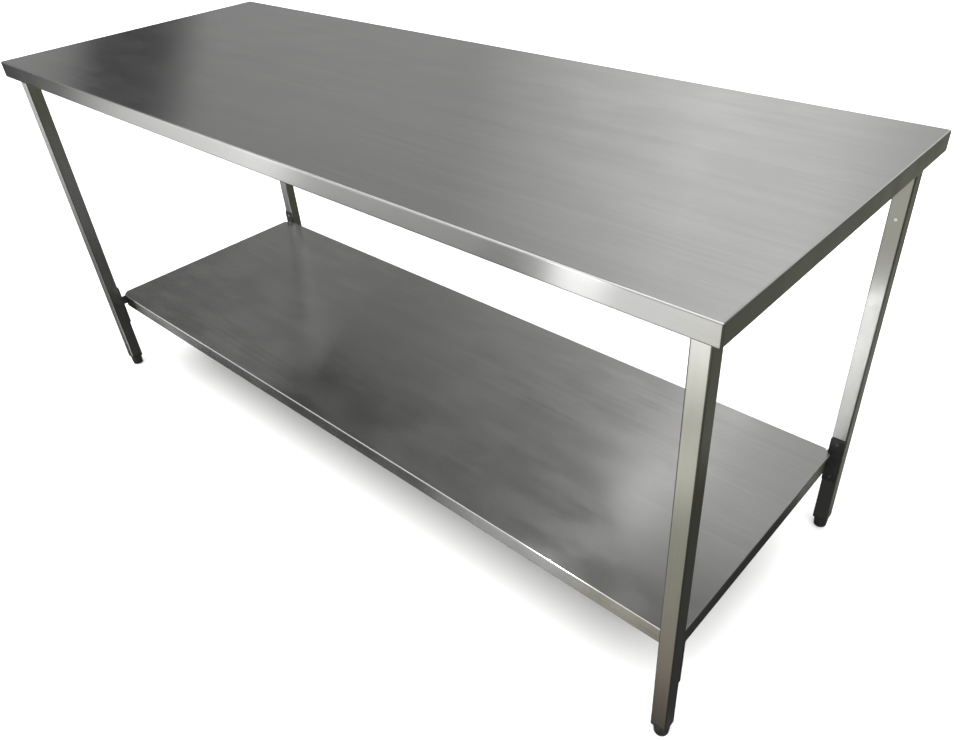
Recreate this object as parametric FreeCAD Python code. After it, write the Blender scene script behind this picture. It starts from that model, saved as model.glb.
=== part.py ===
"""Stainless work table: folded top, four square legs, bolted undershelf, four screw feet.

Frame: X is the long way, Y runs from front to rear, Z is up. The origin is on the floor,
under the middle of the top. All sizes are in millimetres.
"""
import FreeCAD, Part
import math
import os

# ---- overall sizes ----
LENGTH = 1900.0
DEPTH = 700.0
HEIGHT = 870.0

# ---- folded top ----
TOP_SHEET = 1.2
APRON = 35.0
TOP_BEND = 3.0          # outside radius of the folded edges
TOP_RETURN = 12.0       # flange turned inwards at the apron's lower edge

# ---- undershelf ----
SHELF_TOP = 226.0       # height of its upper face
SHELF_SHEET = 1.0
SHELF_LIP = 35.0
SHELF_BEND = 2.5
SHELF_RETURN = 10.0
SHELF_PAST_LEG = 13.0   # how far each end reaches past the legs' inner faces
SHELF_CORNER_CUT = 18.0
SHELF_LEG_GAP = 9.0     # between the shelf's long lips and the legs

# ---- legs ----
TUBE = 30.0
TUBE_WALL = 1.2
TUBE_RADIUS = 3.0
LEG_INSET = 20.0        # from the top's edges to the tube's outer faces
LEG_BOTTOM = 34.0

# ---- leg mounts under the top ----
PLATE_SIDE = 110.0
PLATE_OVERHANG = 20.0   # from the leg's axis to the plate's outer edges
PLATE = 3.0
PLATE_RADIUS = 8.0
SPIGOT_GAP = 0.3
SPIGOT_WALL = 2.0
SPIGOT_LENGTH = 165.0
SPIGOT_SCREW_Z = 727.0
STUD_LENGTH = 15.0
STUD_OFFSETS = ((-75.0, 5.0), (5.0, -75.0), (-75.0, -75.0), (-35.0, -35.0))

# ---- shelf brackets ----
BRACKET = 2.5
BRACKET_BEND = 1.0      # inside radius of its bends
BRACKET_BOTTOM = 138.0
BRACKET_TOP = 250.0
BRACKET_CORNER = 3.0     # radius of its plate's corners
BRACKET_RELIEF = 1.0    # gap cut above and below its folded ear
BRACKET_SCREWS_Z = (152.0, 237.0)
BRACKET_EAR = 32.0      # how far its ear runs along the inside of the shelf's lip
BRACKET_EAR_BOTTOM = 198.0
BRACKET_EAR_TOP = 221.0

# ---- stiffeners: folded hat channels ----
HAT_SHEET = 1.5
HAT_BEND = 1.5
HAT_FOOT = 15.0
TOP_HAT_CROWN = 80.0
TOP_HAT_DEPTH = 25.0
TOP_HAT_LENGTH = 1840.0
TOP_HAT_Y = 150.0
SHELF_HAT_CROWN = 100.0
SHELF_HAT_DEPTH = 20.0
SHELF_HAT_LENGTH = 1760.0

# ---- M6 fasteners ----
M6 = 3.0                # shank radius
M6_THREAD = 3.05        # radius of a threaded hole
M6_CLEARANCE = 3.3      # radius of a clearance hole
M6_NUT_FLATS = 10.0
M6_NUT = 5.0
M6_FLANGE = 6.5
M6_FLANGE_THICKNESS = 1.2
BUTTON_RADIUS = 5.25
BUTTON_HEIGHT = 3.3
BUTTON_EDGE = 0.8
SOCKET_FLATS = 4.0
SOCKET_DEPTH = 2.0
M6_SCREW_LENGTH = 12.0

# ---- screw feet ----
M10 = 5.0
M10_THREAD = 5.05
M10_BORE = 5.15
M10_NUT_FLATS = 17.0
M10_NUT = 8.0
M10_NUT_Z = 38.0
COLLAR = 10.0
COLLAR_CHAMFER = 2.0
PLUG_TOP = 60.0
PLUG_GAP = 0.1
FOOT_GAP = 0.4          # between the foot and the collar above it
FOOT_TOP_RADIUS = 15.0
FOOT_BOTTOM_RADIUS = 13.0
FOOT_EDGE = 3.0
FOOT_FLATS = 27.5
STEM_BOTTOM = 8.0
STEM_TOP = 95.0

# ---- derived places, for the rear right corner ----
LEG_X = LENGTH / 2 - LEG_INSET - TUBE / 2
LEG_Y = DEPTH / 2 - LEG_INSET - TUBE / 2
LEG_FACE_Y = LEG_Y - TUBE / 2
TOP_UNDERSIDE = HEIGHT - TOP_SHEET
PLATE_UNDERSIDE = TOP_UNDERSIDE - PLATE
SHELF_HALF_X = LEG_X - TUBE / 2 + SHELF_PAST_LEG
SHELF_HALF_Y = LEG_FACE_Y - SHELF_LEG_GAP
SHELF_UNDERSIDE = SHELF_TOP - SHELF_SHEET
BRACKET_STANDOFF = SHELF_LEG_GAP + SHELF_SHEET + BRACKET
COLLAR_BOTTOM = LEG_BOTTOM - COLLAR

CORNERS = {
    "front_left": (-1, -1),
    "front_right": (1, -1),
    "rear_left": (-1, 1),
    "rear_right": (1, 1),
}

UP = FreeCAD.Vector(0, 0, 1)
ALONG_X = FreeCAD.Vector(1, 0, 0)
ALONG_Y = FreeCAD.Vector(0, 1, 0)
CENTRE = FreeCAD.Vector(0, 0, 0)


# ---- plain shapes ----
def box(low, high):
    """A box between two corners."""
    size = [b - a for a, b in zip(low, high)]
    return Part.makeBox(size[0], size[1], size[2], FreeCAD.Vector(*low))


def upright_edges(shape):
    """The edges of a shape that run along Z."""
    return [edge for edge in shape.Edges if abs(edge.tangentAt(edge.FirstParameter).z) > 0.99]


def square_bar(side, radius, bottom, top):
    """An upright bar with rounded corners, on the leg's axis."""
    half = side / 2
    bar = box((LEG_X - half, LEG_Y - half, bottom), (LEG_X + half, LEG_Y + half, top))
    return bar.makeFillet(radius, upright_edges(bar))


def hex_prism(flats, base, height, axis):
    """A hexagonal prism: its width over flats, the middle of its base, and its axis."""
    corner = flats / math.sqrt(3)
    angles = [math.radians(60 * i) for i in range(7)]
    points = [FreeCAD.Vector(corner * math.cos(a), corner * math.sin(a), 0) for a in angles]
    prism = Part.Face(Part.makePolygon(points)).extrude(UP * height)
    prism.Placement = FreeCAD.Placement(base, FreeCAD.Rotation(UP, axis))
    return prism


def hex_nut(flats, thickness, bore, base, axis):
    """A plain hexagonal nut."""
    return hex_prism(flats, base, thickness, axis).cut(Part.makeCylinder(bore, thickness, base, axis))


def button_screw(seat, axis, length):
    """A domed socket screw. seat is under its head, and axis points from its tip to its head."""
    rise = BUTTON_HEIGHT - BUTTON_EDGE
    dome = (BUTTON_RADIUS ** 2 + rise ** 2) / (2 * rise)
    head = Part.makeCylinder(BUTTON_RADIUS, BUTTON_HEIGHT, seat, axis)
    head = head.common(Part.makeSphere(dome, seat + axis * (BUTTON_HEIGHT - dome)))
    socket_base = seat + axis * (BUTTON_HEIGHT - SOCKET_DEPTH)
    head = head.cut(hex_prism(SOCKET_FLATS, socket_base, SOCKET_DEPTH + 1, axis))
    return head.fuse(Part.makeCylinder(M6, length, seat - axis * length, axis)).removeSplitter()


def rounded_outline(points, radii, place):
    """A closed wire through 2-D points, each corner rounded. place maps (u, v) to a vector."""
    count = len(points)
    flat = [FreeCAD.Vector(u, v, 0) for u, v in points]
    starts = []
    arcs = []
    ends = []
    for i, corner in enumerate(flat):
        back = (flat[i - 1] - corner).normalize()
        ahead = (flat[(i + 1) % count] - corner).normalize()
        half_angle = back.getAngle(ahead) / 2
        reach = radii[i] / math.tan(half_angle)
        middle = (back + ahead).normalize()
        depth = radii[i] / math.sin(half_angle) - radii[i]
        starts.append(corner + back * reach)
        arcs.append(corner + middle * depth)
        ends.append(corner + ahead * reach)
    edges = []
    for i in range(count):
        here = [place(v.x, v.y) for v in (starts[i], arcs[i], ends[i])]
        if radii[i]:
            edges.append(Part.Arc(*here).toShape())
        following = starts[(i + 1) % count]
        edges.append(Part.LineSegment(here[2], place(following.x, following.y)).toShape())
    return Part.Wire(edges)


def folded_section(outline, place, run):
    """Extrudes an outline along run. The outline is a list of points, each with its corner's radius."""
    points = [point for point, _ in outline]
    radii = [radius for _, radius in outline]
    return Part.Face(rounded_outline(points, radii, place)).extrude(run)


def hat_channel(feet, crown, depth, sheet, bend, place, run):
    """A folded hat section, extruded along run. Its feet lie on v = 0 and its crown at v = depth."""
    left = feet[0]
    right = feet[0] + crown
    end = right + feet[1]
    inner = depth - sheet
    outer_bend = bend + sheet
    outline = (
        ((0, sheet), 0), ((left, sheet), bend), ((left, depth), outer_bend),
        ((right, depth), outer_bend), ((right, sheet), bend), ((end, sheet), 0),
        ((end, 0), 0), ((right - sheet, 0), outer_bend), ((right - sheet, inner), bend),
        ((left + sheet, inner), bend), ((left + sheet, 0), outer_bend), ((0, 0), 0),
    )
    return folded_section(outline, place, run)


def folded_tray(half_x, half_y, top, drop, sheet, bend, flange):
    """A sheet with its four edges folded down, then in, and closed at the corners."""
    outer = box((-half_x, -half_y, top - drop), (half_x, half_y, top))
    outer = outer.makeFillet(bend, outer.Edges)
    x = half_x - sheet
    y = half_y - sheet
    hollow = box((-x, -y, top - drop + sheet), (x, y, top - sheet))
    hollow = hollow.makeFillet(bend - sheet, hollow.Edges)
    x = half_x - flange
    y = half_y - flange
    mouth = box((-x, -y, top - drop - 1), (x, y, top - drop + 2 * sheet))
    return outer.cut(hollow).cut(mouth)


def to_corner(shape, signs):
    """Moves a rear right piece to another corner by mirroring it."""
    if signs[0] < 0:
        shape = shape.mirror(CENTRE, ALONG_X)
    if signs[1] < 0:
        shape = shape.mirror(CENTRE, ALONG_Y)
    return shape


# ---- the top and what is welded under it ----
def top_sheet():
    """The folded worktop."""
    return folded_tray(LENGTH / 2, DEPTH / 2, HEIGHT, APRON, TOP_SHEET, TOP_BEND, TOP_RETURN)


def top_stiffener(side):
    """A hat channel welded under the top. side is -1 at the front and 1 at the rear."""
    width = TOP_HAT_CROWN + 2 * HAT_FOOT
    start = side * TOP_HAT_Y - width / 2

    def place(u, v):
        return FreeCAD.Vector(-TOP_HAT_LENGTH / 2, start + u, TOP_UNDERSIDE - v)

    feet = (HAT_FOOT, HAT_FOOT)
    run = ALONG_X * TOP_HAT_LENGTH
    return hat_channel(feet, TOP_HAT_CROWN, TOP_HAT_DEPTH, HAT_SHEET, HAT_BEND, place, run)


def stud_places():
    """Where the weld studs stand, at the rear right corner."""
    return [FreeCAD.Vector(LEG_X + dx, LEG_Y + dy, 0) for dx, dy in STUD_OFFSETS]


def leg_mount():
    """The plate that bolts under the top, with the square spigot that the leg slides over."""
    high = (LEG_X + PLATE_OVERHANG, LEG_Y + PLATE_OVERHANG, TOP_UNDERSIDE)
    low = (high[0] - PLATE_SIDE, high[1] - PLATE_SIDE, PLATE_UNDERSIDE)
    plate = box(low, high)
    plate = plate.makeFillet(PLATE_RADIUS, upright_edges(plate))
    for stud in stud_places():
        plate = plate.cut(Part.makeCylinder(M6_CLEARANCE, PLATE, stud + UP * PLATE_UNDERSIDE))
    side = TUBE - 2 * TUBE_WALL - 2 * SPIGOT_GAP
    bottom = PLATE_UNDERSIDE - SPIGOT_LENGTH
    spigot = square_bar(side, SPIGOT_WALL + 0.5, bottom, PLATE_UNDERSIDE)
    spigot = spigot.cut(square_bar(side - 2 * SPIGOT_WALL, 0.5, bottom, PLATE_UNDERSIDE))
    spigot = spigot.cut(face_hole(M6_CLEARANCE, SPIGOT_SCREW_Z))
    return plate.fuse(spigot).removeSplitter()


def mount_studs():
    """The weld studs of one corner."""
    bottom = UP * (TOP_UNDERSIDE - STUD_LENGTH)
    return [Part.makeCylinder(M6, STUD_LENGTH, stud + bottom) for stud in stud_places()]


def mount_nuts():
    """The flange nuts of one corner, under the mount's plate."""
    nuts = []
    for stud in stud_places():
        seat = stud + UP * PLATE_UNDERSIDE
        nut = hex_prism(M6_NUT_FLATS, seat - UP * M6_NUT, M6_NUT, UP)
        flange = Part.makeCylinder(M6_FLANGE, M6_FLANGE_THICKNESS, seat - UP * M6_FLANGE_THICKNESS)
        bore = Part.makeCylinder(M6_THREAD, M6_NUT, seat - UP * M6_NUT)
        nuts.append(nut.fuse(flange).cut(bore))
    return nuts


# ---- legs ----
def face_hole(radius, height):
    """A cutter through the front wall of the rear right leg."""
    start = FreeCAD.Vector(LEG_X, LEG_FACE_Y - 1, height)
    return Part.makeCylinder(radius, TUBE / 2, start, ALONG_Y)


def leg():
    """A square tube with three screw holes in the face that looks at the other row of legs."""
    tube = square_bar(TUBE, TUBE_RADIUS, LEG_BOTTOM, PLATE_UNDERSIDE)
    inside = square_bar(TUBE - 2 * TUBE_WALL, TUBE_RADIUS - TUBE_WALL, LEG_BOTTOM, PLATE_UNDERSIDE)
    tube = tube.cut(inside)
    for height in BRACKET_SCREWS_Z + (SPIGOT_SCREW_Z,):
        tube = tube.cut(face_hole(M6_CLEARANCE, height))
    return tube


def face_screw(height, stand_off):
    """A button screw into the leg's inner face, its head stand_off proud of that face."""
    seat = FreeCAD.Vector(LEG_X, LEG_FACE_Y - stand_off, height)
    return button_screw(seat, -ALONG_Y, M6_SCREW_LENGTH)


def face_nut(height, depth):
    """A weld nut behind the leg's inner face, depth inside it."""
    seat = FreeCAD.Vector(LEG_X, LEG_FACE_Y + depth, height)
    return hex_nut(M6_NUT_FLATS, M6_NUT, M6_THREAD, seat, ALONG_Y)


def spigot_nut():
    """The weld nut inside the spigot."""
    return face_nut(SPIGOT_SCREW_Z, TUBE_WALL + SPIGOT_GAP + SPIGOT_WALL)


# ---- undershelf ----
def undershelf():
    """The folded shelf, with its four corners cut off to clear the brackets."""
    shelf = folded_tray(
        SHELF_HALF_X, SHELF_HALF_Y, SHELF_TOP, SHELF_LIP, SHELF_SHEET, SHELF_BEND, SHELF_RETURN
    )
    cutter_side = SHELF_CORNER_CUT * math.sqrt(2)
    corner = FreeCAD.Vector(SHELF_HALF_X, SHELF_HALF_Y, 0)
    cutter = Part.makeBox(cutter_side, cutter_side, 2 * SHELF_LIP)
    cutter.translate(FreeCAD.Vector(-cutter_side / 2, -cutter_side / 2, SHELF_TOP - 1.5 * SHELF_LIP))
    cutter.rotate(CENTRE, UP, 45)
    cutter.translate(corner)
    for signs in CORNERS.values():
        shelf = shelf.cut(to_corner(cutter, signs))
    return shelf


def shelf_stiffener():
    """The hat channel welded under the middle of the shelf."""
    width = SHELF_HAT_CROWN + 2 * HAT_FOOT

    def place(u, v):
        return FreeCAD.Vector(-SHELF_HAT_LENGTH / 2, u - width / 2, SHELF_UNDERSIDE - v)

    feet = (HAT_FOOT, HAT_FOOT)
    run = ALONG_X * SHELF_HAT_LENGTH
    return hat_channel(feet, SHELF_HAT_CROWN, SHELF_HAT_DEPTH, HAT_SHEET, HAT_BEND, place, run)


def shelf_bracket():
    """A plate screwed to the leg. Its ear is folded off the leg and along the inside of the
    shelf's lip, where it is welded."""
    def place(u, v):
        return FreeCAD.Vector(LEG_X + TUBE / 2 - u, LEG_FACE_Y - v, BRACKET_EAR_BOTTOM)

    outer_bend = BRACKET_BEND + BRACKET
    ear_back = BRACKET_STANDOFF - BRACKET
    ear_end = TUBE + BRACKET_EAR
    web = TUBE - BRACKET
    outline = (
        ((0, 0), 0), ((TUBE, 0), outer_bend), ((TUBE, ear_back), BRACKET_BEND),
        ((ear_end, ear_back), 0), ((ear_end, BRACKET_STANDOFF), 0),
        ((web, BRACKET_STANDOFF), outer_bend), ((web, BRACKET), BRACKET_BEND), ((0, BRACKET), 0),
    )
    ear = folded_section(outline, place, UP * (BRACKET_EAR_TOP - BRACKET_EAR_BOTTOM))

    inner_x = LEG_X - TUBE / 2
    front_y = LEG_FACE_Y - BRACKET
    plate = box((inner_x, front_y, BRACKET_BOTTOM), (inner_x + TUBE, LEG_FACE_Y, BRACKET_TOP))
    corners = [edge for edge in plate.Edges if edge.BoundBox.YLength > BRACKET / 2]
    plate = plate.makeFillet(BRACKET_CORNER, corners)
    relief_low = (inner_x, front_y, BRACKET_EAR_BOTTOM - BRACKET_RELIEF)
    relief_high = (inner_x + outer_bend, LEG_FACE_Y, BRACKET_EAR_TOP + BRACKET_RELIEF)
    bracket = plate.cut(box(relief_low, relief_high)).fuse(ear).removeSplitter()
    for height in BRACKET_SCREWS_Z:
        start = FreeCAD.Vector(LEG_X, front_y, height)
        bracket = bracket.cut(Part.makeCylinder(M6_CLEARANCE, BRACKET, start, ALONG_Y))
    return bracket


# ---- feet ----
def on_leg_axis(height):
    """A point on the rear right leg's axis."""
    return FreeCAD.Vector(LEG_X, LEG_Y, height)


def foot_nut():
    """The hexagonal nut moulded into the insert."""
    return hex_nut(M10_NUT_FLATS, M10_NUT, M10_THREAD, on_leg_axis(M10_NUT_Z), UP)


def leg_insert():
    """The plug pressed into the leg's end, with its square collar below the tube."""
    collar = square_bar(TUBE, TUBE_RADIUS, COLLAR_BOTTOM, LEG_BOTTOM)
    lowest = [edge for edge in collar.Edges if edge.BoundBox.ZMax < COLLAR_BOTTOM + 0.01]
    collar = collar.makeChamfer(COLLAR_CHAMFER, lowest)
    side = TUBE - 2 * TUBE_WALL - 2 * PLUG_GAP
    plug = square_bar(side, TUBE_RADIUS - TUBE_WALL, LEG_BOTTOM, PLUG_TOP)
    insert = collar.fuse(plug).removeSplitter()
    height = PLUG_TOP - COLLAR_BOTTOM
    insert = insert.cut(Part.makeCylinder(M10_BORE, height, on_leg_axis(COLLAR_BOTTOM)))
    return insert.cut(hex_prism(M10_NUT_FLATS, on_leg_axis(M10_NUT_Z), M10_NUT, UP))


def foot_stem():
    """The foot's threaded stem, drawn plain at its outside diameter."""
    return Part.makeCylinder(M10, STEM_TOP - STEM_BOTTOM, on_leg_axis(STEM_BOTTOM))


def foot():
    """The tapered foot, with spanner flats near its top and a blind hole for the stem."""
    height = COLLAR_BOTTOM - FOOT_GAP
    cone = Part.makeCone(FOOT_BOTTOM_RADIUS, FOOT_TOP_RADIUS, height, on_leg_axis(0))
    lowest = [edge for edge in cone.Edges if edge.BoundBox.ZMax < 0.01]
    cone = cone.makeFillet(FOOT_EDGE, lowest)
    body = cone.common(hex_prism(FOOT_FLATS, on_leg_axis(0), height, UP))
    return body.cut(Part.makeCylinder(M10_THREAD, height, on_leg_axis(STEM_BOTTOM)))


# ---- the whole table ----
def corner_group(shapes):
    """Copies one corner's solids to all four corners, as one compound."""
    copies = [to_corner(shape, signs) for signs in CORNERS.values() for shape in shapes]
    return Part.makeCompound(copies)


def nodes():
    """Every sub-part by name."""
    parts = {
        "top_sheet": top_sheet(),
        "top_stiffener_front": top_stiffener(-1),
        "top_stiffener_rear": top_stiffener(1),
        "mount_studs": corner_group(mount_studs()),
        "mount_nuts": corner_group(mount_nuts()),
        "leg_top_screws": corner_group([face_screw(SPIGOT_SCREW_Z, 0)]),
        "spigot_nuts": corner_group([spigot_nut()]),
        "undershelf": undershelf(),
        "shelf_stiffener": shelf_stiffener(),
        "bracket_screws": corner_group([face_screw(z, BRACKET) for z in BRACKET_SCREWS_Z]),
        "leg_weld_nuts": corner_group([face_nut(z, TUBE_WALL) for z in BRACKET_SCREWS_Z]),
        "foot_nuts": corner_group([foot_nut()]),
    }
    each_corner = {
        "leg_mount": leg_mount(),
        "leg": leg(),
        "shelf_bracket": shelf_bracket(),
        "leg_insert": leg_insert(),
        "foot_stem": foot_stem(),
        "foot": foot(),
    }
    for name, shape in each_corner.items():
        for corner, signs in CORNERS.items():
            parts[f"{name}_{corner}"] = to_corner(shape, signs)
    return parts


os.makedirs("parts", exist_ok=True)
for node, shape in nodes().items():
    shape.exportStep(f"parts/{node}.step")
    print(node, "valid" if shape.isValid() else "NOT VALID", len(shape.Solids), round(shape.Volume))
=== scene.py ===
"""Looks of the stainless work table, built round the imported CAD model.

Frame: X is the long way, Y runs from front to rear, Z is up, and every length is in metres.
"""

import math

import bmesh
import bpy
from mathutils import Matrix, Vector


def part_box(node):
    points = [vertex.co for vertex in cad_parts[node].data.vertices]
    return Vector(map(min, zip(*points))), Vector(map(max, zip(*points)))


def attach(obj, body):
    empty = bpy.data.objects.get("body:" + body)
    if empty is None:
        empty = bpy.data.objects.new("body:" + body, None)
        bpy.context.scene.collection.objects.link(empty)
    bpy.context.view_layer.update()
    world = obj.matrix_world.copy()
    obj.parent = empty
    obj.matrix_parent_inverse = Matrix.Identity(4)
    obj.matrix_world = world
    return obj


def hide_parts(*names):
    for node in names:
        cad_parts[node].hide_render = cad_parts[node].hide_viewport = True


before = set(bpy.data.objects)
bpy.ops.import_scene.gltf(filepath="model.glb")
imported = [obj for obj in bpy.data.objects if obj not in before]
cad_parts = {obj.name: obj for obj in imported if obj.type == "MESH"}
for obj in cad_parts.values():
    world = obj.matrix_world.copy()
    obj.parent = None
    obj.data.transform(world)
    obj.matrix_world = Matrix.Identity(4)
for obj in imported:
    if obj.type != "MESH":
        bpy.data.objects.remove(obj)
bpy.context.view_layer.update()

MM = 0.001
TURN = 2 * math.pi
CORNERS = ("front_left", "front_right", "rear_left", "rear_right")
WHITE = (1.0, 1.0, 1.0, 1.0)

# ---- view ----
CAMERA_AT = (1.2783, -1.0367, 1.3475)
CAMERA_TURN = (53.228, 3.028, 41.732)   # degrees about X, Y and Z
CAMERA_LENS = 30.606                    # for a sensor 36 mm wide
CAMERA_SHIFT = (-0.0214, 0.0150)

# ---- threads and fasteners ----
M10_PITCH = 1.5 * MM
M10_DEPTH = 0.92 * MM
M6_PITCH = 1.0 * MM
M6_DEPTH = 0.61 * MM
ROWS_PER_TURN = 6
NUT_CHAMFER = math.tan(math.radians(30))
HEX_CHAMFER_FROM = 0.97     # where a hexagon's chamfer starts, as a share of its half width
STUD_NUT_BORE = 3.05 * MM   # radius
STUD_NUT_FLATS = 10.0 * MM
STUD_NUT_FLANGE = 6.5 * MM  # radius

# ---- feet ----
FOOT_RIBS = 28
FOOT_RIB_DEPTH = 0.45 * MM
FOOT_FLATS = 27.5 * MM
FOOT_FLATS_HEIGHT = 6.2 * MM
FOOT_RIBS_BOTTOM = 3.6 * MM
FOOT_BASE_RADIUS = 13.0 * MM
FOOT_TAPER = 2.0 * MM       # how much wider the cone is at the foot's top
FOOT_EDGE = 2.6 * MM        # radius of the rounded base
FOOT_BORE = 5.05 * MM       # radius
FOOT_BORE_FLOOR = 8.0 * MM  # height of the bore's end above the base

# ---- welds ----
HAT_FOOT = 15.0 * MM        # width of a hat channel's foot
HAT_SHEET = 1.5 * MM
TOP_RETURN = 12.0 * MM      # width of the top's inner flange
MITRE_START = 2.5 * MM
MITRE_BEAD = (1.3 * MM, 1.6 * MM)       # radius, ripple
EAR_EDGES = (198.0 * MM, 221.0 * MM)    # heights of a bracket ear's lower and upper edges
EAR_BEAD = (1.1 * MM, 1.5 * MM)
EAR_BEAD_LENGTH = 10 * MM
EAR_BEAD_STARTS = (2.0 * MM, 18.0 * MM)
EAR_BEAD_DEPTH = 2.4 * MM   # from the ear's face to its beads


# =============================== camera ===============================
camera_data = bpy.data.cameras.new("camera")
camera_data.lens = CAMERA_LENS
camera_data.shift_x, camera_data.shift_y = CAMERA_SHIFT
camera = bpy.data.objects.new("camera", camera_data)
bpy.context.scene.collection.objects.link(camera)
camera.location = CAMERA_AT
camera.rotation_euler = [math.radians(angle) for angle in CAMERA_TURN]
bpy.context.scene.camera = camera
bpy.context.scene.view_settings.view_transform = "Standard"


# =============================== shader nodes ===============================
class Shader:
    """Adds nodes to one node tree. Inputs are numbers, colours, vectors or other nodes' sockets."""

    def __init__(self, tree):
        self.tree = tree
        tree.nodes.clear()

    def add(self, kind, inputs=None, **settings):
        """A node with its settings, and its inputs set or linked by name or number."""
        node = self.tree.nodes.new("ShaderNode" + kind)
        for key, value in settings.items():
            setattr(node, key, value)
        for key, value in (inputs or {}).items():
            if isinstance(value, bpy.types.NodeSocket):
                self.tree.links.new(value, node.inputs[key])
            else:
                node.inputs[key].default_value = value
        return node

    def math(self, operation, first, second=0.0):
        """Arithmetic on two values."""
        return self.add("Math", {0: first, 1: second}, operation=operation).outputs[0]

    def vector(self, operation, first, second):
        """Arithmetic on two vectors."""
        return self.add("VectorMath", {0: first, 1: second}, operation=operation).outputs[0]

    def split(self, vector):
        """The three parts of a vector."""
        return self.add("SeparateXYZ", {0: vector}).outputs

    def join(self, x, y, z):
        """A vector from three parts."""
        return self.add("CombineXYZ", {0: x, 1: y, 2: z}).outputs[0]

    def total(self, base, *terms):
        """A base value plus each term, which is a (value, weight) pair."""
        result = base
        for value, weight in terms:
            inputs = {0: value, 1: weight, 2: result}
            result = self.add("Math", inputs, operation="MULTIPLY_ADD").outputs[0]
        return result

    def noise(self, vector, scale, detail=3.0, roughness=0.5):
        """Noise from 0 to 1."""
        inputs = {"Vector": vector, "Scale": scale, "Detail": detail, "Roughness": roughness}
        return self.add("TexNoise", inputs).outputs[0]

    def fit(self, value, low, high, to_low=0.0, to_high=1.0, kind="SMOOTHSTEP"):
        """Maps a value's range onto another, held at both ends."""
        inputs = {0: value, 1: low, 2: high, 3: to_low, 4: to_high}
        return self.add("MapRange", inputs, interpolation_type=kind).outputs[0]

    def ramp(self, value, stops):
        """A ramp of greys or colours. stops are (place, grey or colour)."""
        node = self.add("ValToRGB", {0: value})
        elements = node.color_ramp.elements
        while len(elements) < len(stops):
            elements.new(0.5)
        for element, (place, colour) in zip(elements, stops):
            element.position = place
            grey = isinstance(colour, float)
            element.color = (colour, colour, colour, 1.0) if grey else colour
        return node.outputs[0]

    def mix(self, factor, first, second):
        """A colour between two colours."""
        inputs = {0: factor, 6: first, 7: second}
        return self.add("Mix", inputs, data_type="RGBA").outputs[2]

    def mix_vector(self, factor, first, second):
        """A vector between two vectors."""
        inputs = {0: factor, 4: first, 5: second}
        return self.add("Mix", inputs, data_type="VECTOR").outputs[1]

    def bump(self, height, distance, normal=None):
        """A normal from a height. distance is the height's full range, in metres."""
        inputs = {"Height": height, "Distance": distance}
        if normal:
            inputs["Normal"] = normal
        return self.add("Bump", inputs).outputs[0]


def new_material(name):
    """An empty material and its shader."""
    material = bpy.data.materials.new(name)
    material.use_nodes = True
    return material, Shader(material.node_tree)


def close(shader, inputs):
    """Ends a material with its Principled shader."""
    surface = shader.add("BsdfPrincipled", inputs)
    shader.add("OutputMaterial", {"Surface": surface.outputs[0]})


def shade(colour, factor):
    """A darker or lighter opaque colour."""
    return tuple(min(1.0, factor * part) for part in colour[:3]) + (1.0,)


# =============================== materials ===============================
def along_x(shader, normal):
    """Grain along X."""
    return shader.join(1.0, 0.0, 0.0)


def along_z(shader, normal):
    """Grain along Z."""
    return shader.join(0.0, 0.0, 1.0)


def folded(shader, normal):
    """Grain of a sheet brushed along X before folding: it turns down with the end flanges."""
    x, y, z = shader.split(normal)
    run = shader.math("ADD", z, shader.math("ABSOLUTE", y))
    return shader.join(run, 0.0, shader.math("MULTIPLY", x, -1.0))


def brushed_steel(name, grain, colour, roughness, shift, wear=1.0):
    """Brushed stainless steel. grain is one of the functions above, and shift moves the pattern."""
    material, shader = new_material(name)
    place = shader.add("TexCoord").outputs["Object"]
    place = shader.vector("ADD", place, shift)
    normal = shader.add("NewGeometry").outputs["Normal"]
    run = grain(shader, normal)
    across = shader.vector("CROSS_PRODUCT", normal, run)

    # Squeezing lengths along the grain draws round noise out into long lines.
    upright = shader.fit(shader.math("ABSOLUTE", shader.split(run)[2]), 0.68, 0.72)
    squeeze = shader.mix_vector(upright, (0.012, 1.0, 1.0), (1.0, 1.0, 0.012))
    lined = shader.vector("MULTIPLY", place, squeeze)
    hairlines = shader.noise(lined, 1500.0, 2.0, 0.6)
    streaks = shader.noise(lined, 210.0, 1.0)
    bands = shader.noise(lined, 38.0, 2.0)
    clouds = shader.noise(place, 3.1, 4.0, 0.6)
    smears = shader.noise(shader.vector("MULTIPLY", place, (1.0, 2.2, 1.6)), 7.0, 3.0, 0.5)

    # A few long faint scratches cross the grain at a small angle.
    slant = shader.add("VectorRotate", {"Vector": place, "Angle": 0.35}).outputs[0]
    slant = shader.vector("MULTIPLY", slant, (0.02, 1.0, 0.1))
    scratches = shader.fit(shader.noise(slant, 330.0, 0.0), 0.80, 0.88)

    tone = shader.total(0.0, (hairlines, 0.15), (streaks, 0.35), (bands, 0.2), (clouds, 0.3))
    tone = shader.fit(tone, 0.3, 0.7, kind="LINEAR")
    base = shader.mix(tone, shade(colour, 0.93), shade(colour, 1.06))
    scratched = shader.math("MULTIPLY", scratches, 0.12 * wear)
    base = shader.mix(scratched, base, (0.78, 0.78, 0.77, 1.0))
    smeared = shader.fit(smears, 0.35, 0.65)
    rough = shader.total(
        roughness - 0.05, (streaks, 0.015), (smeared, 0.03 * wear), (scratches, 0.03)
    )

    wave = shader.bump(clouds, 0.07 * MM)
    wave = shader.bump(bands, 0.006 * MM, wave)
    wave = shader.bump(streaks, 0.0015 * MM, wave)
    fine = shader.bump(hairlines, 0.0006 * MM, wave)
    close(shader, {
        "Base Color": base,
        "Metallic": 1.0,
        "Roughness": rough,
        "Anisotropic": 0.95,
        "Tangent": across,
        "Normal": fine,
    })
    return material


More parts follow.
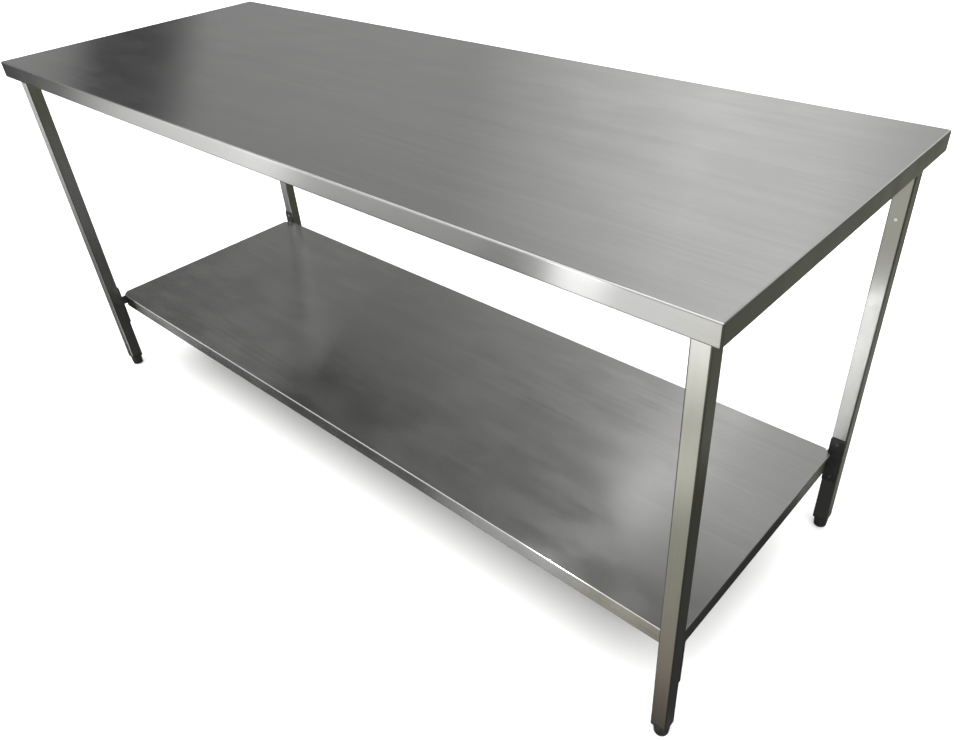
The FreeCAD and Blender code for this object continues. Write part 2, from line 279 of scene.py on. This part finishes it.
def dull_metal(name, colour, roughness, grain_scale):
    """Plated or plain steel: fine crystals, cloudy tone and a few darker marks."""
    material, shader = new_material(name)
    place = shader.add("TexCoord").outputs["Object"]
    crystals = shader.add("TexVoronoi", {"Vector": place, "Scale": grain_scale}).outputs[0]
    clouds = shader.noise(place, 60.0, 4.0, 0.6)
    marks = shader.fit(shader.noise(place, 320.0, 4.0, 0.7), 0.56, 0.72)
    tone = shader.total(0.0, (crystals, 0.5), (clouds, 0.6))
    base = shader.mix(shader.fit(tone, 0.2, 0.8), shade(colour, 0.78), shade(colour, 1.15))
    base = shader.mix(shader.math("MULTIPLY", marks, 0.5), base, shade(colour, 0.42))
    rough = shader.total(roughness - 0.06, (clouds, 0.12), (marks, 0.15))
    normal = shader.bump(clouds, 0.03 * MM)
    normal = shader.bump(crystals, 0.006 * MM, normal)
    close(shader, {
        "Base Color": base,
        "Metallic": 1.0,
        "Roughness": rough,
        "Normal": normal,
    })
    return material


def powder_coat(name, colour):
    """Dark powder coat: orange peel, cloudy tone and lighter patches of dust."""
    material, shader = new_material(name)
    place = shader.add("TexCoord").outputs["Object"]
    peel = shader.noise(place, 900.0, 2.0, 0.4)
    clouds = shader.noise(place, 45.0, 4.0, 0.6)
    dust = shader.fit(shader.noise(place, 160.0, 5.0, 0.7), 0.5, 0.75)
    base = shader.mix(clouds, shade(colour, 0.6), shade(colour, 1.5))
    base = shader.mix(shader.math("MULTIPLY", dust, 0.35), base, (0.10, 0.098, 0.095, 1.0))
    rough = shader.total(0.42, (clouds, 0.14), (dust, 0.2))
    normal = shader.bump(clouds, 0.05 * MM)
    normal = shader.bump(peel, 0.035 * MM, normal)
    close(shader, {
        "Base Color": base,
        "Roughness": rough,
        "Normal": normal,
        "Coat Weight": 0.1,
        "Coat Roughness": 0.3,
    })
    return material


def moulded_plastic(name, colour):
    """Black moulded plastic: fine spark texture, flow marks and scuffed low edges."""
    material, shader = new_material(name)
    place = shader.add("TexCoord").outputs["Object"]
    spark = shader.noise(place, 2600.0, 2.0, 0.6)
    flow = shader.noise(shader.vector("MULTIPLY", place, (1.0, 1.0, 3.0)), 70.0, 4.0, 0.6)
    scuffs = shader.fit(shader.noise(place, 420.0, 5.0, 0.72), 0.52, 0.68)
    low = shader.fit(shader.split(place)[2], 0.001, 0.007, 1.0, 0.12)
    scuffed = shader.math("MULTIPLY", scuffs, low)
    base = shader.mix(flow, shade(colour, 0.7), shade(colour, 1.4))
    base = shader.mix(shader.math("MULTIPLY", scuffed, 0.6), base, (0.13, 0.13, 0.125, 1.0))
    rough = shader.total(0.3, (flow, 0.16), (scuffed, 0.3))
    normal = shader.bump(flow, 0.04 * MM)
    normal = shader.bump(spark, 0.008 * MM, normal)
    close(shader, {"Base Color": base, "Roughness": rough, "Normal": normal})
    return material


STEEL = (0.60, 0.60, 0.592)
# The shelf is the same steel as the top, painted darker: painted shade for the shade it sits in
# under the top.
SHADED_SHELF_STEEL = (0.53, 0.53, 0.522)
PLAIN_STEEL = shade(STEEL, 0.92)
materials = {
    "stainless_top": brushed_steel(
        "brushed_top", folded, STEEL, roughness=0.26, shift=(3.1, 1.7, 0.4)
    ),
    "stainless_shelf": brushed_steel(
        "brushed_shelf", folded, SHADED_SHELF_STEEL, roughness=0.22, shift=(7.3, 4.9, 2.2), wear=1.5
    ),
    "stainless_tube": brushed_steel(
        "brushed_tube", along_z, STEEL, roughness=0.26, shift=(5.7, 8.3, 1.9), wear=0.8
    ),
    "stainless_plain": brushed_steel(
        "mill_sheet", along_x, PLAIN_STEEL, roughness=0.36, shift=(1.3, 6.1, 3.7)
    ),
    "stainless_screw": dull_metal("screw_steel", (0.80, 0.79, 0.77), 0.27, 900.0),
    "zinc_steel": dull_metal("zinc_plate", (0.62, 0.63, 0.64), 0.34, 1400.0),
    "black_coated_steel": powder_coat("black_coat", (0.013, 0.013, 0.0135)),
    "black_plastic": moulded_plastic("black_plastic", (0.018, 0.018, 0.018)),
}
weld_metal = dull_metal("weld_bead", (0.50, 0.47, 0.42), 0.38, 700.0)

NODE_SLOTS = {
    "top_sheet": "stainless_top",
    "undershelf": "stainless_shelf",
    "top_stiffener_front": "stainless_plain",
    "top_stiffener_rear": "stainless_plain",
    "shelf_stiffener": "stainless_plain",
    "leg_top_screws": "stainless_screw",
    "bracket_screws": "stainless_screw",
    "mount_studs": "zinc_steel",
    "mount_nuts": "zinc_steel",
    "spigot_nuts": "zinc_steel",
    "leg_weld_nuts": "zinc_steel",
    "foot_nuts": "zinc_steel",
}
for corner in CORNERS:
    NODE_SLOTS["leg_" + corner] = "stainless_tube"
    NODE_SLOTS["leg_mount_" + corner] = "black_coated_steel"
    NODE_SLOTS["shelf_bracket_" + corner] = "black_coated_steel"
    NODE_SLOTS["leg_insert_" + corner] = "black_plastic"
    NODE_SLOTS["foot_" + corner] = "black_plastic"
    NODE_SLOTS["foot_stem_" + corner] = "zinc_steel"

for node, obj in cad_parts.items():
    obj.data.materials.clear()
    obj.data.materials.append(materials[NODE_SLOTS[node]])


# =============================== mesh helpers ===============================
def finish_piece(mesh, name, material, body):
    """Turns a bmesh into a smooth-shaded piece that rides on a body."""
    bmesh.ops.recalc_face_normals(mesh, faces=mesh.faces)
    data = bpy.data.meshes.new(name)
    mesh.to_mesh(data)
    mesh.free()
    data.shade_smooth()
    data.set_sharp_from_angle(angle=math.radians(38))
    data.materials.append(material)
    piece = bpy.data.objects.new(name, data)
    bpy.context.scene.collection.objects.link(piece)
    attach(piece, body)
    return piece


def turned(mesh, rings, sides, place=Matrix.Identity(4), bored=False):
    """A closed surface round Z through rings of (height, radius), both of them numbers or
    functions of the angle. It is capped at both ends, or joined end to end when bored."""
    loops = []
    for height, radius in rings:
        loop = []
        for i in range(sides):
            angle = TURN * i / sides
            r = radius(angle) if callable(radius) else radius
            point = Vector((r * math.cos(angle), r * math.sin(angle), height))
            loop.append(mesh.verts.new(place @ point))
        loops.append(loop)
    pairs = list(zip(loops, loops[1:]))
    if bored:
        pairs.append((loops[-1], loops[0]))
    for low, high in pairs:
        for i in range(sides):
            j = (i + 1) % sides
            mesh.faces.new((low[i], low[j], high[j], high[i]))
    if not bored:
        mesh.faces.new(loops[0][::-1])
        mesh.faces.new(loops[-1])


def hexagon(flats):
    """The radius of a hexagon as a function of the angle, from its width over flats."""
    def radius(angle):
        return flats / 2 / math.cos((angle + TURN / 12) % (TURN / 6) - TURN / 12)
    return radius


def lesser(first, second):
    """The smaller of a radius function and a number."""
    return lambda angle: min(first(angle), second)


def chamfered_hexagon(flats, low, high):
    """Rings of a hexagonal prism whose corners are turned off at both ends."""
    prism = hexagon(flats)
    corner = flats / math.sqrt(3)
    first = flats / 2 * HEX_CHAMFER_FROM
    rings = []
    for share in (0.0, 0.35, 0.7, 1.0):
        edge = first + share * (corner - first)
        rings.append(((edge - first) * NUT_CHAMFER, lesser(prism, edge)))
    lower = [(low + rise, radius) for rise, radius in rings]
    upper = [(high - rise, radius) for rise, radius in reversed(rings)]
    return lower + upper


def thread(mesh, radius, depth, pitch, low, high, place=Matrix.Identity(4), sides=24):
    """A right-hand screw thread with tapered ends."""
    def crest(height):
        def at(angle):
            phase = (height / pitch - angle / TURN) % 1.0
            flank = abs(2 * phase - 1)
            taper = min(1.0, (height - low) / pitch, (high - height) / pitch)
            # The crests and roots are a little flat.
            deep = min(1.0, max(0.0, 1.35 * flank - 0.12))
            return radius - depth * max(deep, 1.0 - taper)
        return at
    rows = round((high - low) / pitch * ROWS_PER_TURN)
    heights = [low + (high - low) * i / rows for i in range(rows + 1)]
    turned(mesh, [(height, crest(height)) for height in heights], sides, place)


def bead(mesh, start, end, radius, ripple):
    """A weld bead from start to end: a thick line with overlapping ripples."""
    start = Vector(start)
    run = Vector(end) - start
    place = Matrix.Translation(start) @ run.to_track_quat("Z", "Y").to_matrix().to_4x4()
    count = max(2, round(run.length / ripple))
    rings = [(0.0, 0.3 * radius)]
    for i in range(count):
        for share, swell in ((0.1, 0.82), (0.35, 1.0), (0.65, 0.97), (0.9, 0.84)):
            rings.append((run.length * (i + share) / count, radius * swell))
    rings.append((run.length, 0.3 * radius))
    turned(mesh, rings, 12, place)


def middle(node):
    """The centre of a CAD node's box."""
    low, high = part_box(node)
    return (low + high) / 2


# =============================== pieces ===============================
def threaded_stem(corner):
    """The foot's M10 stem with its real thread."""
    node = "foot_stem_" + corner
    low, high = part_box(node)
    centre = middle(node)
    mesh = bmesh.new()
    place = Matrix.Translation((centre.x, centre.y, 0.0))
    thread(mesh, (high.x - low.x) / 2, M10_DEPTH, M10_PITCH, low.z, high.z, place, 36)
    zinc = materials["zinc_steel"]
    piece = finish_piece(mesh, "threaded_stem_" + corner, zinc, "stem_" + corner)
    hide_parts(node)


def screw_foot(corner):
    """The black foot: spanner flats above, a ribbed taper and a rounded base below."""
    node = "foot_" + corner
    low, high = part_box(node)
    centre = middle(node)
    top = high.z
    flats = hexagon(FOOT_FLATS)

    def taper(height, ribs):
        cone = FOOT_BASE_RADIUS + FOOT_TAPER * height / top

        def radius(angle):
            groove = ribs * FOOT_RIB_DEPTH * (0.5 - 0.5 * math.cos(FOOT_RIBS * angle)) ** 0.6
            return min(cone - groove, flats(angle))
        return radius

    # Up the bore, over the top's chamfer and down the spanner flats.
    rings = [(FOOT_BORE_FLOOR, 0.2 * MM), (FOOT_BORE_FLOOR, FOOT_BORE), (top, FOOT_BORE)]
    rings += [(top, 11.6 * MM), (top - 0.35 * MM, lesser(flats, 13.9 * MM))]
    flats_bottom = top - FOOT_FLATS_HEIGHT
    rings += [(top - 0.9 * MM, taper(top, 0.0)), (flats_bottom, taper(flats_bottom, 0.0))]

    # The ribs start and end shallower.
    ribs_top = flats_bottom - 0.6 * MM
    for share, ribs in ((0.0, 0.6), (0.12, 1.0), (0.5, 1.0), (0.88, 1.0), (1.0, 0.6)):
        height = ribs_top + share * (FOOT_RIBS_BOTTOM - ribs_top)
        rings.append((height, taper(height, ribs)))
    rings.append((3.0 * MM, taper(3.0 * MM, 0.0)))

    # The base is rounded and has a shallow hollow.
    for i in range(5):
        angle = math.radians(90 * (i + 1) / 5)
        height = FOOT_EDGE * (1 - math.sin(angle))
        rings.append((height, FOOT_BASE_RADIUS + 0.2 * MM - FOOT_EDGE * (1 - math.cos(angle))))
    rings += [(0.0, 8.4 * MM), (0.9 * MM, 7.6 * MM), (0.9 * MM, 0.2 * MM)]
    mesh = bmesh.new()
    place = Matrix.Translation((centre.x, centre.y, low.z))
    turned(mesh, rings, 6 * FOOT_RIBS, place)
    black = materials["black_plastic"]
    piece = finish_piece(mesh, "screw_foot_" + corner, black, node)
    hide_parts(node)


def islands(node):
    """The centre and the size of each separate solid in a CAD node."""
    mesh = bmesh.new()
    mesh.from_mesh(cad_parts[node].data)
    bmesh.ops.remove_doubles(mesh, verts=mesh.verts, dist=1e-6)
    left = set(mesh.verts)
    found = []
    while left:
        heap = [left.pop()]
        points = []
        while heap:
            vert = heap.pop()
            points.append(vert.co.copy())
            for edge in vert.link_edges:
                other = edge.other_vert(vert)
                if other in left:
                    left.remove(other)
                    heap.append(other)
        low = Vector(min(p[i] for p in points) for i in range(3))
        high = Vector(max(p[i] for p in points) for i in range(3))
        found.append(((low + high) / 2, high - low))
    mesh.free()
    return sorted(found, key=lambda item: tuple(item[0]))


def mount_hardware():
    """The threaded studs under the top, and the flange nuts on them."""
    studs = bmesh.new()
    for centre, size in islands("mount_studs"):
        low = centre.z - size.z / 2
        high = centre.z + size.z / 2
        place = Matrix.Translation((centre.x, centre.y, 0.0))
        thread(studs, size.x / 2, M6_DEPTH, M6_PITCH, low, high, place)
    piece = finish_piece(studs, "threaded_studs", materials["zinc_steel"], "table")
    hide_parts("mount_studs")

    nuts = bmesh.new()
    bore = STUD_NUT_BORE
    flange = STUD_NUT_FLANGE
    for centre, size in islands("mount_nuts"):
        low = centre.z - size.z / 2
        high = centre.z + size.z / 2
        # Up the hexagon, round the flange and down the bore.
        rings = [(low, bore + 0.3 * MM)]
        rings += chamfered_hexagon(STUD_NUT_FLATS, low, high)[:5]
        rings += [(high - 2.2 * MM, lesser(hexagon(STUD_NUT_FLATS), 5.6 * MM))]
        rings += [(high - 1.0 * MM, flange - 0.25 * MM), (high - 0.7 * MM, flange)]
        rings += [(high - 0.2 * MM, flange), (high, flange - 0.2 * MM)]
        rings += [(high, bore + 0.3 * MM), (high - 0.3 * MM, bore), (low + 0.3 * MM, bore)]
        place = Matrix.Translation((centre.x, centre.y, 0.0))
        turned(nuts, rings, 72, place, bored=True)
    piece = finish_piece(nuts, "flange_nuts", materials["zinc_steel"], "table")
    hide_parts("mount_nuts")


def spot_welds(name, nodes, pitch, margin):
    """Resistance weld marks along both feet of each hat channel."""
    # One mark is a low ring round a shallow dent.
    mark = [(-0.05 * MM, 3.1 * MM), (0.10 * MM, 2.8 * MM), (0.16 * MM, 2.45 * MM)]
    mark += [(0.05 * MM, 1.9 * MM), (0.02 * MM, 0.9 * MM), (0.02 * MM, 0.2 * MM)]
    mesh = bmesh.new()
    for node in nodes:
        low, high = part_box(node)
        seat = high.z - HAT_SHEET
        reach = high.x - low.x - 2 * margin
        count = round(reach / pitch)
        for y in (low.y + HAT_FOOT / 2, high.y - HAT_FOOT / 2):
            for i in range(count + 1):
                x = low.x + margin + reach * i / count
                place = Matrix.Translation((x, y, seat)) @ Matrix.Rotation(math.pi, 4, "X")
                turned(mesh, mark, 20, place)
    finish_piece(mesh, name, materials["stainless_plain"], "table")


def corner_welds():
    """Weld beads along the mitres under the top, where its inner flanges meet."""
    mesh = bmesh.new()
    low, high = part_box("top_sheet")
    z = low.z + 0.2 * MM
    for x, sign_x in ((low.x, 1), (high.x, -1)):
        for y, sign_y in ((low.y, 1), (high.y, -1)):
            start = (x + sign_x * MITRE_START, y + sign_y * MITRE_START, z)
            end = (x + sign_x * TOP_RETURN, y + sign_y * TOP_RETURN, z)
            bead(mesh, start, end, *MITRE_BEAD)
    finish_piece(mesh, "top_corner_welds", weld_metal, "table")


def bracket_welds():
    """Beads that hold each bracket's ear to the inside of the shelf's lip."""
    mesh = bmesh.new()
    for corner in CORNERS:
        low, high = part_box("shelf_bracket_" + corner)
        leg = middle("leg_" + corner)
        out_x = math.copysign(1, leg.x)
        out_y = math.copysign(1, leg.y)
        inner_x = low.x if out_x > 0 else high.x
        ear_y = low.y if out_y > 0 else high.y
        y = ear_y + out_y * EAR_BEAD_DEPTH
        for z in EAR_EDGES:
            for start in EAR_BEAD_STARTS:
                x = inner_x + out_x * start
                bead(mesh, (x, y, z), (x + out_x * EAR_BEAD_LENGTH, y, z), *EAR_BEAD)
    finish_piece(mesh, "bracket_welds", weld_metal, "table")


for corner in CORNERS:
    threaded_stem(corner)
    screw_foot(corner)
mount_hardware()
spot_welds("top_spot_welds", ("top_stiffener_front", "top_stiffener_rear"), 115 * MM, 20 * MM)
spot_welds("shelf_spot_welds", ("shelf_stiffener",), 110 * MM, 20 * MM)
corner_welds()
bracket_welds()


# =============================== floor and light ===============================
def stage_sheet(mesh, name, material, height):
    """A flat sheet that belongs to the studio, not to the table."""
    data = bpy.data.meshes.new(name)
    mesh.to_mesh(data)
    mesh.free()
    data.materials.append(material)
    sheet = bpy.data.objects.new(name, data)
    bpy.context.scene.collection.objects.link(sheet)
    sheet.location.z = height
    return sheet


def studio_floor():
    """A pale sheet of studio paper, wide enough to fill every view."""
    material, shader = new_material("pale_floor")
    place = shader.add("TexCoord").outputs["Object"]
    fibre = shader.noise(place, 240.0, 3.0)
    cloud = shader.noise(place, 0.9, 3.0)
    tone = shader.total(0.0, (fibre, 0.5), (cloud, 0.5))
    base = shader.mix(tone, (0.84, 0.84, 0.835, 1.0), (0.88, 0.88, 0.875, 1.0))
    close(shader, {"Base Color": base, "Roughness": 0.85, "Normal": shader.bump(fibre, 0.1 * MM)})
    mesh = bmesh.new()
    bmesh.ops.create_grid(mesh, x_segments=24, y_segments=24, size=15.0)
    floor = stage_sheet(mesh, "studio_floor", material, -0.3 * MM)
    floor.visible_glossy = False


def soft_box(name, at, look, size, power):
    """A soft rectangular lamp at a point, turned towards another."""
    lamp = bpy.data.lights.new(name, "AREA")
    lamp.shape = "RECTANGLE"
    lamp.size, lamp.size_y = size
    lamp.energy = power
    obj = bpy.data.objects.new(name, lamp)
    bpy.context.scene.collection.objects.link(obj)
    obj.location = at
    obj.rotation_euler = (Vector(look) - Vector(at)).to_track_quat("-Z", "Y").to_euler()
    obj.visible_camera = False
    return obj


def panel(part, value):
    """A ramp stop where a direction's part along an axis, from -1 to 1, has that value."""
    return ((part + 1) / 2, value)


# Brightness of the room by how far a direction points along X: behind the table near the
# horizon, behind it higher up, and in front of it below the horizon.
REAR_LOW = (
    panel(-1.0, 0.31), panel(-0.915, 0.31), panel(-0.908, 0.05), panel(-0.872, 0.06),
    panel(-0.860, 0.33), panel(-0.67, 0.39), panel(-0.56, 0.75), panel(-0.45, 1.0),
    panel(-0.32, 0.78), panel(-0.22, 0.5), panel(0.2, 1.3), panel(0.27, 0.62), panel(0.36, 0.06),
    panel(1.0, 0.34),
)
REAR_HIGH = (
    panel(-1.0, 0.10), panel(-0.83, 0.13), panel(-0.77, 0.19), panel(-0.7, 0.20), panel(-0.6, 0.21),
    panel(-0.5, 0.23), panel(-0.42, 0.30), panel(-0.33, 0.38), panel(-0.27, 0.60),
    panel(-0.22, 0.55), panel(0.1, 0.3), panel(0.3, 0.2), panel(1.0, 0.2),
)
FRONT_PANELS = (
    panel(-1.0, 0.02), panel(-0.918, 0.03), panel(-0.908, 0.20), panel(-0.895, 0.55),
    panel(-0.875, 0.75), panel(-0.83, 1.0), panel(-0.804, 2.0), panel(-0.794, 0.75),
    panel(-0.58, 0.75), panel(-0.53, 1.0), panel(-0.2, 1.0), panel(0.05, 0.8), panel(0.25, 0.2),
    panel(0.36, 0.08), panel(1.0, 0.1),
)
# The same in front of the table above the horizon, for the views from behind.
FRONT_HIGH = (
    panel(-1.0, 0.30), panel(-0.7, 0.42), panel(-0.45, 0.62), panel(-0.25, 0.48), panel(0.0, 0.36),
    panel(0.25, 0.42), panel(0.5, 0.66), panel(0.7, 0.46), panel(1.0, 0.30),
)
# A factor on FRONT_PANELS by how far a direction points up, on the left and on the right.
LEFT_HEIGHTS = (
    panel(-1.0, 0.08), panel(-0.5, 0.10), panel(-0.38, 0.3), panel(-0.25, 1.7), panel(0.1, 2.2),
    panel(0.5, 0.8), panel(1.0, 0.5),
)
RIGHT_HEIGHTS = (
    panel(-1.0, 0.18), panel(-0.86, 0.22), panel(-0.82, 0.30), panel(-0.735, 0.42),
    panel(-0.712, 0.36), panel(-0.700, 0.75), panel(-0.650, 0.95), panel(-0.632, 0.60),
    panel(-0.618, 0.65), panel(-0.602, 1.15), panel(-0.567, 1.60), panel(-0.520, 2.10),
    panel(-0.487, 2.50), panel(-0.477, 0.42), panel(-0.435, 0.45), panel(-0.41, 0.75),
    panel(-0.36, 0.55), panel(0.1, 0.6), panel(1.0, 0.5),
)

# The tint of the room on the right by height: a brown floor, then olive and white by turns.
WARM_FLOOR = (
    panel(-1.0, (1.20, 0.95, 0.72, 1.0)), panel(-0.84, (1.15, 0.96, 0.76, 1.0)),
    panel(-0.76, (1.02, 1.0, 0.78, 1.0)), panel(-0.565, (1.0, 1.0, 0.83, 1.0)),
    panel(-0.545, (1.0, 1.0, 0.97, 1.0)), panel(-0.475, (1.0, 1.0, 0.97, 1.0)),
    panel(-0.44, (1.0, 0.99, 0.80, 1.0)), panel(0.0, (1.0, 1.0, 0.85, 1.0)), panel(1.0, WHITE),
)
OLIVE = (1.0, 1.02, 0.72, 1.0)
CEILING = (1.7, 1.7, 1.7, 1.0)

# A slanted lamp behind the table. It shines where x + LAMP_SLANT * z is near LAMP_PLACE.
LAMP_PLACE = 0.074
LAMP_SLANT = 0.63
LAMP_POWER = 1.2

# REAR_HIGH takes over from REAR_LOW between two values of z - STEEP_SLANT * x. The top mirrors
# only what lies below them, and the undershelf mostly what lies above.
STEEP_SLANT = 0.38
STEEP = (0.665, 0.745)


def surroundings():
    """The room that the metal mirrors: tall pale and dark panels, and a white backdrop."""
    world = bpy.data.worlds.new("studio")
    bpy.context.scene.world = world
    world.use_nodes = True
    shader = Shader(world.node_tree)
    x, y, z = shader.split(shader.add("TexCoord").outputs["Generated"])
    along = shader.fit(x, -1.0, 1.0, kind="LINEAR")
    up = shader.fit(z, -1.0, 1.0, kind="LINEAR")

    # Behind the table: one row of panels near the horizon, and one higher up with the lamp.
    off_lamp = shader.math("ABSOLUTE", shader.total(-LAMP_PLACE, (x, 1.0), (z, LAMP_SLANT)))
    lamp = shader.fit(off_lamp, 0.010, 0.035, LAMP_POWER, 0.0)
    high = shader.vector("ADD", shader.ramp(along, REAR_HIGH), shader.join(lamp, lamp, lamp))
    steep = shader.fit(shader.total(z, (x, -STEEP_SLANT)), *STEEP)
    behind = shader.mix(steep, shader.ramp(along, REAR_LOW), high)

    # The room behind is dimmer below the horizon, and olive there on the right.
    dim = shader.fit(z, -0.30, 0.0, 0.35, 1.0)
    below = shader.fit(z, -0.12, 0.08, 1.0, 0.0)
    low_right = shader.math("MULTIPLY", shader.fit(x, 0.1, 0.3), below)
    olive = shader.mix(low_right, WHITE, OLIVE)
    behind = shader.vector("MULTIPLY", behind, olive)
    behind = shader.add("VectorMath", {0: behind, 3: dim}, operation="SCALE").outputs[0]

    # In front: detailed panels below the horizon, plain ones above it, then a pale ceiling.
    tint = shader.mix(shader.fit(x, -0.41, -0.35), WHITE, shader.ramp(up, WARM_FLOOR))
    right = shader.vector("MULTIPLY", shader.ramp(up, RIGHT_HEIGHTS), tint)
    heights = shader.mix(shader.fit(x, -0.62, -0.46), shader.ramp(up, LEFT_HEIGHTS), right)
    ahead = shader.vector("MULTIPLY", shader.ramp(along, FRONT_PANELS), heights)
    ahead = shader.mix(shader.fit(z, 0.02, 0.16), ahead, shader.ramp(along, FRONT_HIGH))
    ahead = shader.mix(shader.fit(z, 0.42, 0.58), ahead, CEILING)

    room = shader.mix(shader.fit(y, -0.10, 0.10), ahead, behind)
    mirrored = shader.add("Background", {"Color": room}).outputs[0]
    backdrop = shader.add("Background", {"Color": WHITE}).outputs[0]
    seen = shader.add("LightPath").outputs["Is Camera Ray"]
    both = shader.add("MixShader", {0: seen, 1: mirrored, 2: backdrop}).outputs[0]
    shader.add("OutputWorld", {"Surface": both})


def shade_card():
    """Painted shadow: a dark glowing sheet under the table that stands in for the table's shadow on
    the pale floor, seen only in the metal's reflections.
    """
    material, shader = new_material("shade_card")
    x, y, z = shader.split(shader.add("TexCoord").outputs["Object"])
    inside_x = shader.fit(shader.math("ABSOLUTE", x), 0.95, 1.5, 1.0, 0.0)
    inside_y = shader.fit(shader.math("ABSOLUTE", y), 0.25, 0.50, 1.0, 0.0)
    inside = shader.math("MULTIPLY", inside_x, inside_y)
    # Painted shadow: the dark glowing colour of the shade under the table, fading out past the
    # table's edges.
    dark = shader.add("Emission", {"Color": (0.045, 0.045, 0.043, 1.0)}).outputs[0]
    clear = shader.add("BsdfTransparent").outputs[0]
    both = shader.add("MixShader", {0: inside, 1: clear, 2: dark}).outputs[0]
    shader.add("OutputMaterial", {"Surface": both})
    mesh = bmesh.new()
    bmesh.ops.create_grid(mesh, x_segments=12, y_segments=6, size=1.0)
    bmesh.ops.scale(mesh, vec=(1.6, 0.6, 1.0), verts=mesh.verts)
    card = stage_sheet(mesh, "shade_card", material, -0.2 * MM)
    card.visible_camera = False
    card.visible_diffuse = False
    card.visible_shadow = False


def sky_lamp(strength, spread):
    """A very wide soft lamp straight above, for even light on the floor. spread is in degrees."""
    lamp = bpy.data.lights.new("sky_lamp", "SUN")
    lamp.energy = strength
    lamp.angle = math.radians(spread)
    obj = bpy.data.objects.new("sky_lamp", lamp)
    bpy.context.scene.collection.objects.link(obj)
    obj.visible_glossy = False


def light_only(lamp, *nodes):
    """Keeps a lamp's light to some of the CAD objects."""
    lit = bpy.data.collections.new(lamp.name + "_lit")
    for node in nodes:
        lit.objects.link(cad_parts[node])
    lamp.light_linking.receiver_collection = lit


studio_floor()
surroundings()
shade_card()
sky_lamp(strength=5.0, spread=100.0)
soft_box("front_lamp", at=(0.2, -1.2, 0.62), look=(0.7, 0.0, 0.6), size=(0.14, 0.3), power=0.7)
shelf_lamp = soft_box(
    "shelf_lamp", at=(0.21, -1.04, 0.92), look=(0.68, -0.1, 0.226), size=(0.03, 0.2), power=12.0
)
light_only(shelf_lamp, "undershelf")
glint_lamp = soft_box(
    "glint_lamp", at=(0.5, -1.9, 1.7), look=(0.9, 0.3, 0.2), size=(0.25, 0.25), power=30.0
)
light_only(glint_lamp, "bracket_screws", "leg_top_screws")
